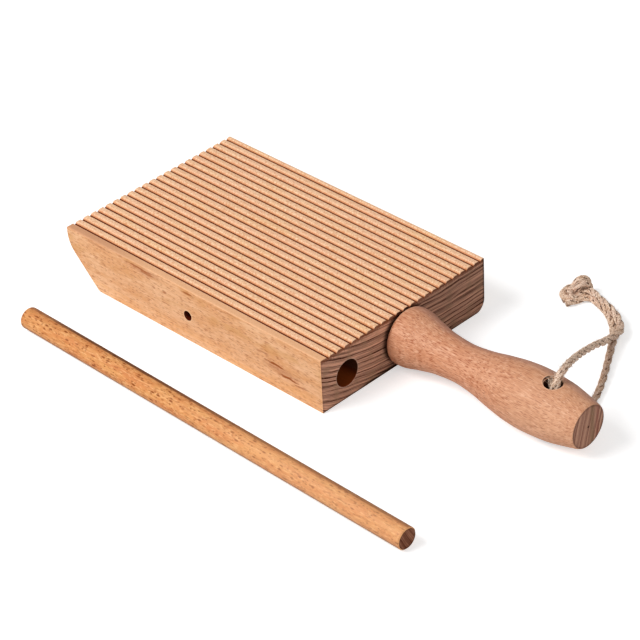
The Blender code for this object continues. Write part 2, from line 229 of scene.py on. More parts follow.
class Wiring:
    """Builds a material or a world. A value for an input is a number, a tuple or another node's output."""

    def __init__(self, name, kind="materials", shader="Principled BSDF"):
        self.made = getattr(bpy.data, kind).new(name)
        self.made.use_nodes = True
        self.tree = self.made.node_tree
        self.shader = self.tree.nodes[shader]

    def feed(self, socket, value):
        if isinstance(value, bpy.types.NodeSocket):
            self.tree.links.new(value, socket)
        else:
            socket.default_value = value

    def set(self, name, value):
        """Sets or wires one of the shader's own inputs."""
        self.feed(self.shader.inputs[name], value)

    def add(self, kind, inputs=None, **settings):
        node = self.tree.nodes.new("ShaderNode" + kind)
        for key, value in settings.items():
            setattr(node, key, value)
        for key, value in (inputs or {}).items():
            self.feed(node.inputs[key], value)
        return node

    def math(self, operation, *values):
        return self.add("Math", dict(enumerate(values)), operation=operation).outputs[0]

    def product(self, *values):
        return functools.reduce(lambda a, b: self.math("MULTIPLY", a, b), values)

    def minus(self, value, less):
        return self.math("SUBTRACT", value, less)

    def length(self, a, b):
        return self.math("SQRT", self.math("ADD", self.product(a, a), self.product(b, b)))

    def scaled(self, value, factor, base):
        """base + factor * value."""
        return self.math("MULTIPLY_ADD", value, factor, base)

    def highest(self, values):
        return functools.reduce(lambda a, b: self.math("MAXIMUM", a, b), values)

    def stretch(self, vector, factors):
        """The vector with each part multiplied by its factor."""
        return self.add("VectorMath", {0: vector, 1: factors}, operation="MULTIPLY").outputs[0]

    def place(self):
        """The place on the piece, in millimetres."""
        return self.stretch(self.add("TexCoord").outputs["Object"], (1 / MM,) * 3)

    def parts(self, vector):
        return tuple(self.add("SeparateXYZ", {0: vector}).outputs)

    def vector(self, x, y, z):
        return self.add("CombineXYZ", {0: x, 1: y, 2: z}).outputs[0]

    def noise(self, vector, detail=2.0, roughness=0.5):
        inputs = {"Vector": vector, "Scale": 1.0, "Detail": detail, "Roughness": roughness}
        return self.add("TexNoise", inputs).outputs[0]

    def grain(self, place, factors, detail=2.0, roughness=0.5):
        """Noise that is stretched by the factors, which are in turns per millimetre."""
        return self.noise(self.stretch(place, factors), detail, roughness)

    def ease(self, value, low, high):
        """0 at low, 1 at high, smooth in between. low may be above high."""
        inputs = {0: value, 1: low, 2: high}
        return self.add("MapRange", inputs, interpolation_type="SMOOTHSTEP").outputs[0]

    def mix(self, share, first, second):
        """The share of the second colour in the first. A tuple is a colour's 8-bit display values."""
        first, second = (srgb(*c) if isinstance(c, tuple) else c for c in (first, second))
        return self.add("Mix", {0: share, 6: first, 7: second}, data_type="RGBA").outputs[2]

    def marked(self, colour, marks):
        """The colour under marks, each of which is a strength, its own colour and its masks."""
        for strength, shade, *masks in marks:
            colour = self.mix(self.product(*masks, strength), colour, shade)
        return colour

    def attribute(self, name):
        return self.add("Attribute", attribute_name=name).outputs["Fac"]

    def bump(self, height, distance, strength):
        node = self.add("Bump", {"Height": height, "Distance": distance, "Strength": strength})
        self.set("Normal", node.outputs[0])


# Beech. Places in its marks are in millimetres, as are these faces of the board.
TOP = BOARD_TOP / MM
END = BOARD_END / MM
NEAR = NEAR_SIDE / MM
FAR = FAR_SIDE / MM


class Spot:
    """What marks are worked out from: the place in millimetres, the facing and the end grain mask."""

    def __init__(self, w):
        self.place = w.place()
        self.x, self.y, self.z = w.parts(self.place)
        _, self.facing_y, self.facing_up = w.parts(w.add("TexCoord").outputs["Normal"])
        self.end = w.ease(w.attribute("end_grain"), 0.75, 0.95)
        self.along = w.minus(1, self.end)


def flecks(w, place, size, keep):
    """Spindle-shaped spots of about that size in millimetres. keep is the share of cells with one."""
    cell = w.stretch(place, tuple(1 / s for s in size))
    node = w.add("TexVoronoi", {"Vector": cell, "Scale": 1.0})
    spot = w.ease(node.outputs["Distance"], 0.46, 0.14)
    chance = w.parts(node.outputs["Color"])[0]
    return w.product(spot, w.ease(chance, 1 - keep, 1.25 - keep))


def growth(w, rings, place, spacing):
    """The ring depth, and 0 in early wood to 1 in the thin late wood."""
    depth = w.scaled(w.grain(place, (0.01, 0.055, 0.055)), 2.4, rings)
    uneven = w.noise(w.vector(w.product(depth, 0.22), 3, 5), 1)
    phase = w.math("FRACT", w.scaled(uneven, 1.4, w.math("DIVIDE", depth, spacing)))
    return depth, w.product(w.ease(phase, 0.25, 0.9), w.ease(phase, 1, 0.93))


def long_grain(w, spot, look, late):
    """The colour of the faces along the grain, its fibre noise and its spots."""
    tone = w.grain(spot.place, look.tone_scale, 3, 0.6)
    fibre = w.grain(spot.place, look.fibre_scale, 3, 0.62)
    pale = w.grain(spot.place, look.pale_scale, 2, 0.6)
    colour = w.marked(look.side, (
        (1, look.side_warm, w.ease(tone, 0.34, 0.66)),
        (look.ring_strength, look.side_late, late),
        (look.fibre_strength, look.fleck, w.ease(fibre, 0.5, 0.7)),
        (look.pale_strength, look.side_pale, w.ease(pale, 0.5, 0.68)),
    ))
    layers = []
    for size, keep, strength in look.flecks:
        layers.append(w.product(flecks(w, spot.place, size, keep), strength))
        colour = w.mix(layers[-1], colour, look.fleck)
    return colour, fibre, w.highest(layers)


def end_grain(w, spot, look, depth, late):
    """The colour across the grain: broad rings, fine lines between them and paler rays across."""
    lines = w.noise(w.vector(w.product(depth, 1.7), w.product(spot.y, 0.03), 0), 3, 0.7)
    grain = w.scaled(w.ease(lines, 0.38, 0.6), 0.62, w.product(late, 0.5))
    patch = w.grain(spot.place, (0, 0.16, 0.16))
    rays = w.grain(spot.place, (0, 4, 0.8), 2, 0.6)
    return w.marked(look.end_pale, (
        (1, look.end_dark, grain),
        (0.5, look.end_tint, w.ease(patch, 0.5, 0.7)),
        (0.22, look.end_pale, w.ease(rays, 0.52, 0.72)),
    ))


def beech(name, look):
    """Oiled beech whose grain runs along X."""
    w = Wiring(name)
    spot = Spot(w)
    depth, late = growth(w, look.rings(w, spot.y, spot.z), spot.place, look.ring_spacing)
    side, fibre, spots = long_grain(w, spot, look, late)
    colour = w.mix(spot.end, side, end_grain(w, spot, look, depth, late))
    colour = w.marked(colour, look.marks(w, spot))
    w.set("Base Color", colour)
    w.set("Roughness", w.scaled(fibre, 0.18, look.roughness))
    brightness = w.add("RGBToBW", {"Color": colour}).outputs[0]
    w.set("Specular IOR Level", w.product(w.ease(brightness, 0.02, 0.16), 0.18))
    w.bump(w.minus(w.product(fibre, 0.5), spots), 0.06 * MM, 0.7)
    return w.made


def distance(w, across, up, axis):
    """The distance in millimetres from an axis given in metres."""
    return w.length(w.minus(across, axis[0] / MM), w.minus(up, axis[1] / MM))


def within(w, away, radius, margin=0.12):
    """1 inside the radius, 0 outside of it. away and margin are in millimetres."""
    edge = radius / MM + margin
    return w.ease(away, edge + 0.08, edge - 0.05)


def rim(w, away, radius, inner, outer):
    """1 at a hole's edge, 0 past it; inner and outer are distances from the edge in millimetres."""
    return w.ease(away, radius / MM + outer, radius / MM + inner)


def board_rings(w, y, z):
    """The rings lie flat across the board and sink towards the near side."""
    fall = w.math("EXPONENT", w.product(w.minus(y, NEAR), -1 / 25))
    return w.scaled(fall, -12.5, z)


# Dark streaks and small knots on the near side: x, z, half length, half height, and how strong.
SIDE_STREAKS = (
    (-30, 25, 11, 0.75, 0.85), (-26, 24, 7, 0.7, 0.7),
    (-28, 24.4, 13, 2.2, 0.35), (-1.2, 24.8, 4.6, 0.65, 0.85),
    (50.5, 12.3, 7.5, 0.75, 1), (58, 8.8, 7.5, 0.75, 1),
    (54, 10.5, 13, 2.4, 0.35), (66, 7.6, 5, 0.6, 0.6),
    (43, 15.5, 5, 0.5, 0.5), (-54.1, 16.6, 0.9, 0.8, 0.45),
    (-22.5, 18.9, 1.2, 0.7, 0.5), (-16.2, 19.1, 1.2, 0.9, 0.6),
    (57, 24.3, 0.9, 0.7, 0.6), (-57, 24.9, 9, 0.9, 0.35),
    (20, 25.4, 12, 0.6, 0.25),
)


def side_streaks(w, spot):
    """The streaks of the near side, ragged along their length."""
    ragged = w.grain(spot.place, (0.35, 0, 1.2), 3, 0.6)
    wobble = w.grain(spot.place, (0.09, 0, 0), 1)
    height = w.math("ADD", spot.z, w.scaled(wobble, 2.4, -1.2))
    shares = []
    for x, z, half_length, half_height, strength in SIDE_STREAKS:
        a = w.math("DIVIDE", w.minus(spot.x, x), half_length)
        b = w.math("DIVIDE", w.minus(height, z), half_height)
        away = w.math("ADD", w.length(a, b), w.scaled(ragged, 1.6, -0.8))
        shares.append(w.product(w.ease(away, 1.15, 0.35), strength))
    return w.highest(shares)


class BoardFaces:
    """Masks of the board's top, near side and end face by the handle, and the depth below its top."""

    def __init__(self, w, spot):
        self.below = w.minus(TOP, spot.z)
        self.top = w.product(w.ease(spot.facing_up, 0.2, 0.5), spot.along)
        self.near = w.product(w.ease(spot.facing_y, -0.7, -0.95), spot.along)
        self.front = w.product(w.ease(spot.x, END - 4, END - 2), spot.end)


def ridge_marks(w, spot, faces):
    """Light ridges in zones of warmer wood with fine chatter, a plain margin and a worn first ridge."""
    top = faces.top
    chatter = w.grain(spot.place, (2.4, 0.75, 0), 2, 0.6)
    from_first = w.minus(spot.y, NEAR + NEAR_MARGIN / MM)
    ridge = w.math("FLOOR", w.math("DIVIDE", from_first, GROOVE_PITCH / MM))
    zone = w.noise(w.vector(w.product(spot.x, 0.03), w.product(ridge, 0.7), 0))
    return (
        (0.54, (255, 211, 172), top),
        (0.4, (246, 190, 158), w.ease(zone, 0.42, 0.66), top),
        (0.32, (246, 198, 140), w.ease(zone, 0.46, 0.3), top),
        (0.5, (200, 136, 94), w.ease(chatter, 0.5, 0.62), top),
        (0.5, (255, 228, 194), w.ease(chatter, 0.5, 0.38), top),
        (0.75, (230, 173, 127), w.ease(spot.y, NEAR + 3.8, NEAR + 2.8), top),
        (0.42, (170, 108, 80), w.ease(spot.y, NEAR + 4.4, NEAR + 3.6), w.ease(spot.x, -20, -60), top),
    )


def side_marks(w, spot, faces):
    """Ochre clouds, a brighter foot and dark streaks on the near side."""
    clouds = w.grain(spot.place, (0.045, 0, 0.14))
    bright = w.grain(spot.place, (0.02, 0, 0.9), 1)
    return (
        (0.45, (208, 146, 80), w.ease(clouds, 0.52, 0.66), w.ease(spot.z, 12, 18), faces.near),
        (0.45, (244, 184, 122), w.ease(spot.z, 7.5, 4), w.ease(bright, 0.46, 0.6), faces.near),
        (1, (160, 80, 30), side_streaks(w, spot), faces.near),
    )


def tearing(w, spot):
    """How the cutter tore the end face, from 0 to 1."""
    return w.grain(spot.place, (0, 1.1, 1.1), 3, 0.65)


def notch_marks(w, spot, faces):
    """Notches painted darker with their depth, orange on the flanks and dark at the bottom: painted shade of
    the grooves together with scorching, and brown and torn where they meet the end face.
    """
    below, top = faces.below, faces.top
    ends = w.product(w.ease(spot.x, END - 1.3, END), w.ease(below, 0.35, 1), top)
    return (
        # Painted shade deepening into each groove, together with scorching: orange flanks and a dark bottom.
        (0.66, (200, 106, 0), w.ease(below, 0.15, 0.85), top),
        (1, (88, 26, 0), w.ease(below, 0.72, 1.08), top),
        (0.8, (120, 70, 40), ends, w.ease(tearing(w, spot), 0.4, 0.56)),
    )


def end_marks(w, spot, faces):
    """The end face: torn under the ridges, darker past the handle and at its side edges, with painted contact
    shadow round the handle's shoulder and painted shade along the bottom edge, taller near the handle.
    """
    y, front = spot.y, faces.front
    torn = w.ease(w.scaled(tearing(w, spot), -4, w.math("ADD", faces.below, 1.2)), 1.7, 0.6)
    # Painted contact shadow in a ring round the handle's shoulder.
    handle_shadow = w.ease(distance(w, y, spot.z, (0, HANDLE_AXIS_HEIGHT)), 14.6, 12)
    # Painted shade along the bottom edge of the end face, taller near the handle, where its shadow falls.
    bottom_shadow_height = w.scaled(w.ease(w.math("ABSOLUTE", y), 36, 6), 2.6, 1.3)
    bottom_shadow = w.ease(w.math("DIVIDE", spot.z, bottom_shadow_height), 1, 0.15)
    return (
        (0.75, (126, 72, 46), torn, front),
        (0.25, (84, 50, 36), w.ease(y, 5, 25), front),
        (0.3, (132, 74, 46), w.ease(y, NEAR + 1.1, NEAR + 0.2), front),
        # Painted contact shadow round the handle.
        (0.85, (48, 22, 12), handle_shadow, front),
        (0.8, (54, 34, 26), w.ease(y, FAR - 1.4, FAR - 0.2), front),
        # Painted shade along the bottom edge.
        (0.96, (24, 12, 6), bottom_shadow, front),
    )


def hole_marks(w, spot, faces):
    """Painted shade on the walls of the bore and of the side hole, which runs into it, less deep on the bore's
    lower wall, and painted highlights on their rims.
    """
    bore_away = distance(w, spot.y, spot.z, BORE_AXIS)
    bore_start = END - BORE_DEPTH / MM
    bore = w.product(within(w, bore_away, BORE_RADIUS), w.ease(spot.x, bore_start - 6, bore_start - 5))
    hole_away = distance(w, spot.x, spot.z, SIDE_HOLE_AXIS)
    hole = w.product(within(w, hole_away, SIDE_HOLE_RADIUS), w.ease(spot.y, NEAR + 16, NEAR + 15))
    return (
        # Painted highlight on the bore's rim.
        (0.5, (188, 156, 138), rim(w, bore_away, BORE_RADIUS, 0.2, 0.75), faces.front),
        # Painted shade inside the bore.
        (0.97, (54, 16, 4), bore),
        # The bore's painted shade, less deep on its lower wall.
        (0.9, (134, 60, 18), bore, w.ease(spot.z, 11.5, 6.5)),
        # Painted highlight on the side hole's rim.
        (0.55, (248, 206, 160), rim(w, hole_away, SIDE_HOLE_RADIUS, 0.2, 0.9), faces.near),
        # Painted shade inside the side hole.
        (0.97, (84, 26, 10), hole),
    )


def board_marks(w, spot):
    faces = BoardFaces(w, spot)
    groups = (ridge_marks, side_marks, notch_marks, end_marks, hole_marks)
    return [mark for group in groups for mark in group(w, spot, faces)]


BOARD_LOOK = SimpleNamespace(
    rings=board_rings,
    ring_spacing=2.4,
    ring_strength=0.2,
    tone_scale=(0.03, 0.1, 0.13),
    side=(239, 189, 145),
    side_warm=(226, 166, 115),
    side_late=(206, 140, 90),
    side_pale=(246, 202, 160),
    fleck=(176, 104, 60),
    fibre_scale=(0.24, 1.6, 1.6),
    fibre_strength=0.66,
    pale_scale=(0.3, 1.3, 1.3),
    pale_strength=0.5,
    flecks=(((2.4, 0.7, 0.8), 0.5, 0.66), ((4.2, 0.8, 0.9), 0.3, 0.75)),
    end_pale=(226, 168, 138),
    end_dark=(66, 32, 18),
    end_tint=(146, 112, 84),
    roughness=0.5,
    marks=board_marks,
)


def handle_rings(w, y, z):
    return w.minus(y, w.product(z, 0.24))


def silhouette_band(w, spot, low, high):
    """The part of a turned side whose facing, from 1 up and away to -1, is from low to high: where painted
    sheen and shade are laid.
    """
    facing = w.product(w.math("ADD", spot.facing_y, spot.facing_up), math.sqrt(0.5))
    return w.product(w.ease(facing, low, high), spot.along)


def handle_marks(w, spot):
    """Paler wood by the free end, painted grazing sheen and shade on the upper far side, the end's tints, rim
    and heart, a pale rim round the cord hole and painted shade inside it.
    """
    hole_away = distance(w, spot.x, spot.y, (CORD_HOLE_X, 0))
    end_away = distance(w, spot.y, spot.z, (0, HANDLE_AXIS_HEIGHT))
    free_end = w.product(w.ease(spot.x, 130, 140), spot.end)
    green = w.math("ABSOLUTE", w.minus(spot.y, 2.4))
    red = w.math("ABSOLUTE", w.minus(spot.y, 5.6))
    return (
        (0.2, (224, 186, 150), w.ease(spot.x, 120, 160), spot.along),
        # Painted grazing sheen and shade on the upper far side.
        (0.5, (188, 138, 122), silhouette_band(w, spot, 0.74, 0.98)),
        (0.45, (120, 96, 62), w.ease(green, 1.7, 0.6), free_end),
        (0.45, (142, 76, 58), w.ease(red, 1.3, 0.4), free_end),
        (0.55, (78, 44, 34), w.ease(end_away, 8.3, 9.7), free_end),
        (0.8, (48, 28, 18), w.ease(end_away, 0.75, 0.35), free_end),
        (0.45, (240, 196, 164), rim(w, hole_away, CORD_HOLE_RADIUS, 0.4, 1.1), spot.along),
        # Painted shade inside the cord hole.
        (0.95, (58, 28, 14), within(w, hole_away, CORD_HOLE_RADIUS, 0.1)),
    )


HANDLE_LOOK = SimpleNamespace(
    rings=handle_rings,
    ring_spacing=2.6,
    ring_strength=0.38,
    tone_scale=(0.035, 0.13, 0.13),
    side=(222, 163, 128),
    side_warm=(212, 147, 110),
    side_late=(190, 124, 88),
    side_pale=(238, 188, 155),
    fleck=(166, 92, 60),
    fibre_scale=(0.26, 2.6, 2.6),
    fibre_strength=0.75,
    pale_scale=(0.22, 1.9, 1.9),
    pale_strength=0.65,
    flecks=(((4.6, 0.66, 0.66), 0.62, 0.85), ((2.6, 0.52, 0.52), 0.6, 0.75)),
    end_pale=(196, 146, 120),
    end_dark=(118, 74, 56),
    end_tint=(160, 114, 90),
    roughness=0.44,
    marks=handle_marks,
)


def dowel_rings(w, y, z):
    return w.math("ADD", y, w.product(z, 0.5))


def dowel_marks(w, spot):
    """A paler near end, painted shade along the upper far side as a darker band with a ragged dark streak in
    it, painted shade on the lower near edge, and the ends' dark rims.
    """
    # Painted shade along the upper far side: a ragged dark streak that fades towards the near end.
    ragged = w.grain(spot.place, (0.12, 0.9, 0.9), 2, 0.6)
    upwards = w.product(spot.facing_up, math.sin(UPPER_SHADE_ANGLE))
    towards = w.scaled(spot.facing_y, math.cos(UPPER_SHADE_ANGLE), upwards)
    towards = w.scaled(ragged, 0.06, towards)
    fading = w.scaled(w.ease(spot.x, 110, 0), 0.45, 0.35)
    streak = w.product(w.ease(towards, 0.935, 0.985), w.ease(spot.x, -76, -30), fading, spot.along)
    end_away = distance(w, spot.y, spot.z, (dowel_low.y + DOWEL_RADIUS, DOWEL_RADIUS))
    return (
        (0.3, (240, 184, 138), w.ease(spot.x, 10, 120), spot.along),
        (0.4, (196, 128, 76), w.ease(spot.x, -20, -140), spot.along),
        # Painted shade on the upper far side.
        (0.3, (164, 98, 60), silhouette_band(w, spot, 0.6, 0.92)),
        # Painted shade: the dark streak along the upper side.
        (1, (76, 44, 30), streak),
        # Painted shade on the lower near edge.
        (0.5, (122, 84, 60), silhouette_band(w, spot, -0.8, -0.96)),
        (0.75, (40, 20, 12), w.ease(end_away, 3.9, 4.7), spot.end),
    )


DOWEL_LOOK = SimpleNamespace(
    rings=dowel_rings,
    ring_spacing=3,
    ring_strength=0.3,
    tone_scale=(0.06, 0.3, 0.3),
    side=(222, 157, 96),
    side_warm=(212, 136, 80),
    side_late=(190, 112, 58),
    side_pale=(246, 190, 130),
    fleck=(142, 72, 24),
    fibre_scale=(0.34, 1.3, 1.3),
    fibre_strength=0.62,
    pale_scale=(0.3, 1.5, 1.5),
    pale_strength=0.55,
    flecks=(((3.6, 1.25, 1.25), 0.36, 1), ((1.9, 0.8, 0.8), 0.45, 0.85)),
    end_pale=(152, 98, 70),
    end_dark=(92, 48, 32),
    end_tint=(110, 62, 40),
    roughness=0.42,
    marks=dowel_marks,
)


# Jute.


def jute():
    """Dry twisted jute: pale crowns, painted shade in broken patches of the gaps between the plies, and
    painted shade on the cord low by the table, more towards the handle.
    """
    w = Wiring("jute_twist")
    place = w.place()
    streak = w.attribute("streak")
    patch = w.grain(place, (0.22,) * 3)
    speck = w.grain(place, (1.5,) * 3, 3, 0.75)
    colour = w.mix(w.ease(streak, 0.25, 0.8), (212, 174, 144), (252, 224, 198))
    worn = w.grain(place, (0.55,) * 3, 2, 0.6)
    # Painted shade in broken patches of the gaps between the plies.
    gap_shade = w.product(w.attribute("gap"), w.ease(worn, 0.4, 0.56), w.scaled(speck, 2, 0.1))
    _, y, z = w.parts(place)
    w.set("Base Color", w.marked(colour, (
        (0.5, (214, 180, 162), w.ease(patch, 0.42, 0.62)),
        (0.72, (138, 96, 70), w.ease(speck, 0.52, 0.6)),
        (0.72, (255, 236, 218), w.ease(speck, 0.48, 0.4)),
        # Painted shade in the ply gaps.
        (0.9, (88, 54, 34), w.ease(gap_shade, 0.42, 0.8)),
        # Painted shade on the cord where it lies low by the table, more towards the handle.
        (0.46, (126, 88, 62), w.ease(z, 8, 4.5), w.ease(y, 84, 52)),
    )))
    w.set("Roughness", 0.9)
    w.set("Specular IOR Level", 0.2)
    w.bump(w.math("ADD", streak, speck), 0.1 * MM, 0.8)
    return w.made


def loose_fibre(name, dark, pale):
    w = Wiring(name)
    place = w.place()
    tint = w.grain(place, (1.3,) * 3, 1)
    w.set("Base Color", w.mix(w.ease(tint, 0.4, 0.6), dark, pale))
    w.set("Roughness", 0.8)
    return w.made


# Meshes.


def mesh_of(name, vertices, faces):
    mesh = bpy.data.meshes.new(name)
    mesh.from_pydata(vertices, [], faces)
    mesh.update()
    return mesh


def smooth_mesh(name, vertices, faces):
    mesh = mesh_of(name, vertices, faces)
    mesh.shade_smooth()
    return mesh


def placed(name, data):
    """A new object in the scene."""
    made = bpy.data.objects.new(name, data)
    bpy.context.scene.collection.objects.link(made)
    return made


def show(name, mesh, body, material):
    """A shown piece with its material, riding on a body."""
    piece = placed(name, mesh)
    piece.data.materials.clear()
    piece.data.materials.append(material)
    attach(piece, body)
    return piece


def rounded(corners):
    """The outline through the corners (x, y, radius), each corner replaced by its arc."""
    outline = []
    for index, (x, y, radius) in enumerate(corners):
        corner = np.array((x, y))
        before = np.array(corners[index - 1][:2]) - corner
        after = np.array(corners[(index + 1) % len(corners)][:2]) - corner
        before /= np.linalg.norm(before)
        after /= np.linalg.norm(after)
        half_angle = math.acos(float(np.clip(before @ after, -1, 1))) / 2
        middle = (before + after) / np.linalg.norm(before + after)
        centre = corner + middle * radius / math.sin(half_angle)
        turn = math.pi - 2 * half_angle
        steps = max(2, math.ceil(turn / ARC_STEP))
        start = corner + before * radius / math.tan(half_angle) - centre
        sense = math.copysign(1.0, before[1] * after[0] - before[0] * after[1])
        for step in range(steps + 1):
            angle = sense * turn * step / steps
            cos, sin = math.cos(angle), math.sin(angle)
            outline.append(centre + (start[0] * cos - start[1] * sin, start[0] * sin + start[1] * cos))
    return np.array(outline)


def board_section():
    """The board's outline across its width: (y, z)."""
    corners = [
        (NEAR_SIDE, BOARD_TOP, NEAR_TOP_ROUND),
        (NEAR_SIDE, 0, EDGE_ROUND),
        (FAR_SIDE, 0, FAR_BOTTOM_ROUND),
        (FAR_SIDE, BOARD_TOP, EDGE_ROUND),
    ]
    room = FAR_SIDE - NEAR_SIDE - NEAR_MARGIN - LEAST_FAR_MARGIN
    count = math.floor(room / GROOVE_PITCH + 1e-6) + 1
    for number in reversed(range(count)):
        y = NEAR_SIDE + NEAR_MARGIN + number * GROOVE_PITCH
        corners += [
            (y + GROOVE_WIDTH / 2, BOARD_TOP, RIDGE_ROUND),
            (y, BOARD_TOP - GROOVE_DEPTH, NOTCH_ROUND),
            (y - GROOVE_WIDTH / 2, BOARD_TOP, RIDGE_ROUND),
        ]
    return rounded(corners)


def board_heights():
    """Places along the board, with the lowest and the highest z of the wood at each."""
    outline = rounded([
        (BOARD_END, BOARD_TOP, EDGE_ROUND),
        (LIP_FACE, BOARD_TOP, EDGE_ROUND),
        (LIP_FACE, BOARD_TOP - LIP_HEIGHT, LIP_ROUND),
        (LIP_FACE + UNDERCUT_INSET, 0, TOE_ROUND),
        (BOARD_END, 0, EDGE_ROUND),
    ])
    upper = outline[outline[:, 1] > BOARD_TOP - EDGE_ROUND * 1.01]
    lower = outline[outline[:, 1] <= BOARD_TOP - EDGE_ROUND * 1.01]
    upper, lower = upper[np.argsort(upper[:, 0])], lower[np.argsort(lower[:, 0])]
    places = np.unique(np.round(np.concatenate((outline[:, 0], np.linspace(LIP_FACE, BOARD_END, 40))), 6))
    return places, np.interp(places, *lower.T), np.interp(places, *upper.T)


def board_blank():
    """The board before drilling: its section at each place, cut off at the lowest and highest z there."""
    section = board_section()
    places, lowest, highest = board_heights()
    vertices, faces = [], []
    for x, low, high in zip(places, lowest, highest):
        vertices += [(x, y, min(max(z, low), high)) for y, z in section]
    add_tube_faces(faces, 0, len(places), len(section))
    return mesh_of("board", vertices, faces)


def add_tube_faces(faces, first, rows, columns):
    """Quads between the rows of a closed tube whose vertices start at first, and a cap at each end."""
    for row in range(rows - 1):
        for column in range(columns):
            here = first + row * columns + column
            beside = first + row * columns + (column + 1) % columns
            faces.append((here, beside, beside + columns, here + columns))
    last = first + (rows - 1) * columns
    faces.append(tuple(reversed(range(first, first + columns))))
    faces.append(tuple(range(last, last + columns)))


def lathe(name, profile, start, ahead, sides=LATHE_SIDES):
    """A turned solid. Profile rows are (distance along the axis, radius); both ends close to a point."""
    ahead = np.array(ahead)
    side = np.cross(ahead, UP) if abs(ahead[2]) < 0.9 else np.array(ALONG)
    side /= np.linalg.norm(side)
    up = np.cross(side, ahead)
    angle = np.arange(sides) * 2 * math.pi / sides
    spokes = side[None] * np.cos(angle)[:, None] + up[None] * np.sin(angle)[:, None]
    vertices = [tuple(start + ahead * profile[0][0])]
    for along, radius in profile[1:-1]:
        vertices += (start + ahead * along + spokes * radius).tolist()
    vertices.append(tuple(start + ahead * profile[-1][0]))
    faces = []
    rows = len(profile) - 2
    for column in range(sides):
        beside = (column + 1) % sides
        faces.append((0, 1 + beside, 1 + column))
        for row in range(rows - 1):
            here, next_one = 1 + row * sides + column, 1 + row * sides + beside
            faces.append((here, next_one, next_one + sides, here + sides))
        last = 1 + (rows - 1) * sides
        faces.append((last + column, last + beside, len(vertices) - 1))
    mesh = mesh_of(name, vertices, faces)
    outward(mesh)
    return mesh


def outward(mesh):
    shape = bmesh.new()
    shape.from_mesh(mesh)
    bmesh.ops.recalc_face_normals(shape, faces=shape.faces)
    shape.to_mesh(mesh)
    shape.free()


def drilled(mesh, cutters):
    """The mesh less the cutters' meshes."""
    blank = placed("blank", mesh)
    tools = []
    for cutter in cutters:
        tools.append(placed("tool", cutter))
        cut = blank.modifiers.new("cut", "BOOLEAN")
        cut.object = tools[-1]
        cut.operation = "DIFFERENCE"
        cut.solver = "EXACT"
    graph = bpy.context.evaluated_depsgraph_get()
    result = bpy.data.meshes.new_from_object(blank.evaluated_get(graph))
    for item in [blank, *tools]:
        bpy.data.objects.remove(item)
    return result


def dressed(mesh):
    """Smooth rounds, flat planes, and the end grain mask on each face."""
    shape = bmesh.new()
    shape.from_mesh(mesh)
    bmesh.ops.remove_doubles(shape, verts=shape.verts, dist=0.0005 * MM)
    shape.to_mesh(mesh)
    shape.free()
    mesh.shade_smooth()
    facing = np.zeros(len(mesh.polygons) * 3)
    mesh.polygons.foreach_get("normal", facing)
    facing = np.abs(facing.reshape(-1, 3))
    mesh.polygons.foreach_set("use_smooth", facing.max(axis=1) < FLAT_FACING)
    mesh.attributes.new("end_grain", "FLOAT", "FACE").data.foreach_set("value", facing[:, 0])
    mesh.set_sharp_from_angle(angle=SMOOTH_ANGLE)
    return mesh


def board_mesh():
    over = 2 * MM
    bore_start = (BOARD_END - BORE_DEPTH, *BORE_AXIS)
    tip = BORE_RADIUS / math.tan(math.radians(59))
    chamfer = 0.15 * MM
    bore = lathe("bore", [
        (-tip, 0),
        (0, BORE_RADIUS),
        (BORE_DEPTH - chamfer, BORE_RADIUS),
        (BORE_DEPTH, BORE_RADIUS + chamfer),
        (BORE_DEPTH + over, BORE_RADIUS + chamfer),
        (BORE_DEPTH + over, 0),
    ], bore_start, ALONG)
    to_bore = BORE_AXIS[0] - NEAR_SIDE
    side_hole = lathe("side_hole", [
        (0, 0),
        (0, SIDE_HOLE_RADIUS),
        (to_bore - chamfer, SIDE_HOLE_RADIUS),
        (to_bore, SIDE_HOLE_RADIUS + chamfer),
        (to_bore + over, SIDE_HOLE_RADIUS + chamfer),
        (to_bore + over, 0),
    ], (SIDE_HOLE_AXIS[0], BORE_AXIS[0], SIDE_HOLE_AXIS[1]), TO_NEAR, 48)
    socket = lathe("socket", [
        (0, 0),
        (0, SOCKET_RADIUS),
        (SOCKET_DEPTH + over, SOCKET_RADIUS),
        (SOCKET_DEPTH + over, 0),
    ], (BOARD_END - SOCKET_DEPTH, 0.0, HANDLE_AXIS_HEIGHT), ALONG)
    blank = board_blank()
    outward(blank)
    return dressed(drilled(blank, [bore, side_hole, socket]))


def handle_side():
    """(distance from the shoulder, radius) on a smooth curve through the handle's stations."""
    stations = [(share * (handle_high.x - SHOULDER_X), radius * MM) for share, radius in HANDLE_STATIONS]
    rises = [(b[1] - a[1]) / (b[0] - a[0]) for a, b in zip(stations, stations[1:])]
    slopes = [0.0]
    for before, after in zip(rises, rises[1:]):
        slopes.append(0.0 if before * after <= 0 else 2 * before * after / (before + after))
    slopes.append(rises[-1])
    side = []
    for (start, r0), (end, r1), s0, s1 in zip(stations, stations[1:], slopes, slopes[1:]):
        span = end - start
        for step in range(STATION_STEPS):
            t = step / STATION_STEPS
            radius = (1 + 2 * t) * (1 - t) ** 2 * r0 + t * (1 - t) ** 2 * span * s0
            radius += t * t * (3 - 2 * t) * r1 - t * t * (1 - t) * span * s1
            side.append((start + t * span, radius))
    return side


